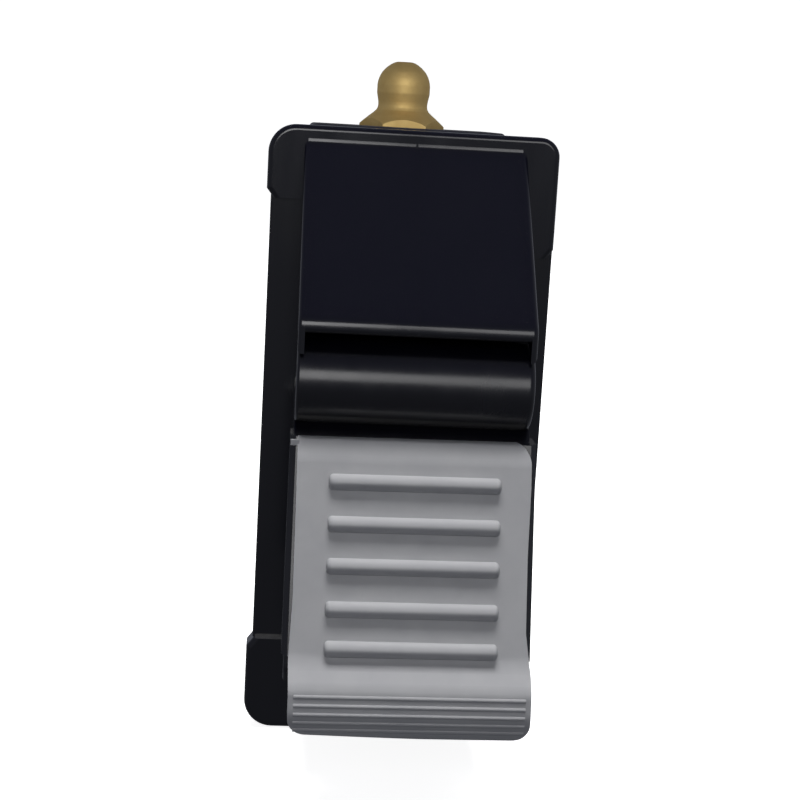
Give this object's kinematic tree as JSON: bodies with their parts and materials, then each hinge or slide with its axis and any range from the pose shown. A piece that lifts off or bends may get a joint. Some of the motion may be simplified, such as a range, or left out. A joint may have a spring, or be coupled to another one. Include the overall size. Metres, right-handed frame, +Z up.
{
  "type": "lever air control valve",
  "caption": "Seat air control valve: split moulded housing with a mounting flange, a sprung finger lever with a ribbed pad, and a spool valve block with barbed hose fittings.",
  "frame": {"origin": "centre of the four threaded inserts, on the flange's back face", "axes": "+Z up along the flange's long side, +Y back through the panel towards the valve block, -Y to the front where the lever is, X across the flange and along the lever's pivot"},
  "size_m": [0.0421, 0.0881, 0.1006],
  "materials": {
    "housing_black": "smooth moulded glass-filled plastic, glossy navy black",
    "lever_black": "smooth moulded plastic, black",
    "block_black": "satin moulded plastic, black",
    "cover_black": "satin moulded plastic, black",
    "plug_black": "satin moulded plastic, black",
    "pad_grey": "satin moulded plastic, mid grey",
    "collar_plastic": "natural acetal",
    "brass": "turned brass, slightly dulled",
    "sleeve_brass": "turned and honed brass",
    "bush_bronze": "sintered bronze",
    "silencer_bronze": "sintered bronze, open pored",
    "zinc_steel": "zinc plated steel",
    "arm_steel": "machined steel, zinc plated",
    "pin_steel": "ground steel",
    "spring_steel": "drawn spring wire",
    "spool_alloy": "turned aluminium alloy",
    "washer_alloy": "soft aluminium",
    "seal_rubber": "nitrile rubber, black"
  },
  "bodies": {
    "base": {"housing_left": "housing_black", "housing_right": "housing_black", "pivot_bushes": "bush_bronze", "cross_screws": "zinc_steel", "panel_inserts": "brass", "valve_body": "block_black", "valve_sleeve": "sleeve_brass", "sleeve_seals": "seal_rubber", "upper_spring": "spring_steel", "lower_spring": "spring_steel", "bottom_plug": "plug_black", "top_cover": "cover_black", "cover_gasket": "seal_rubber", "cover_screws": "zinc_steel", "body_screws": "zinc_steel", "supply_fitting": "brass", "supply_washer": "washer_alloy", "outlet_fitting": "brass", "outlet_washer": "washer_alloy", "inlet_screen": "sleeve_brass", "silencer_base": "brass", "silencer_dome": "silencer_bronze"},
    "lever": {"lever_core": "lever_black", "grip_pad": "pad_grey", "actuator_arm": "arm_steel", "pivot_pin": "pin_steel"},
    "spool": {"spool": "spool_alloy", "spool_seals": "seal_rubber", "link_pin": "pin_steel", "spring_collar": "collar_plastic", "collar_clip": "zinc_steel"}
  },
  "joints": [
    {"name": "lever_pivot", "type": "hinge", "parent": "base", "child": "lever", "pos_m": [0, -0.0206, 0.0113], "axis": [1, 0, 0], "range_deg": [-5, 5], "stiffness_Nm_per_rad": 1},
    {"name": "spool_slide", "type": "slide", "parent": "base", "child": "spool", "axis": [0, 0, 1], "range_m": [-0.0036, 0.0036], "deforming": ["upper_spring", "lower_spring"]}
  ],
  "couplings": [
    {"joint": "spool_slide", "follows": "lever_pivot", "m_per_rad": 0.0401}
  ]
}
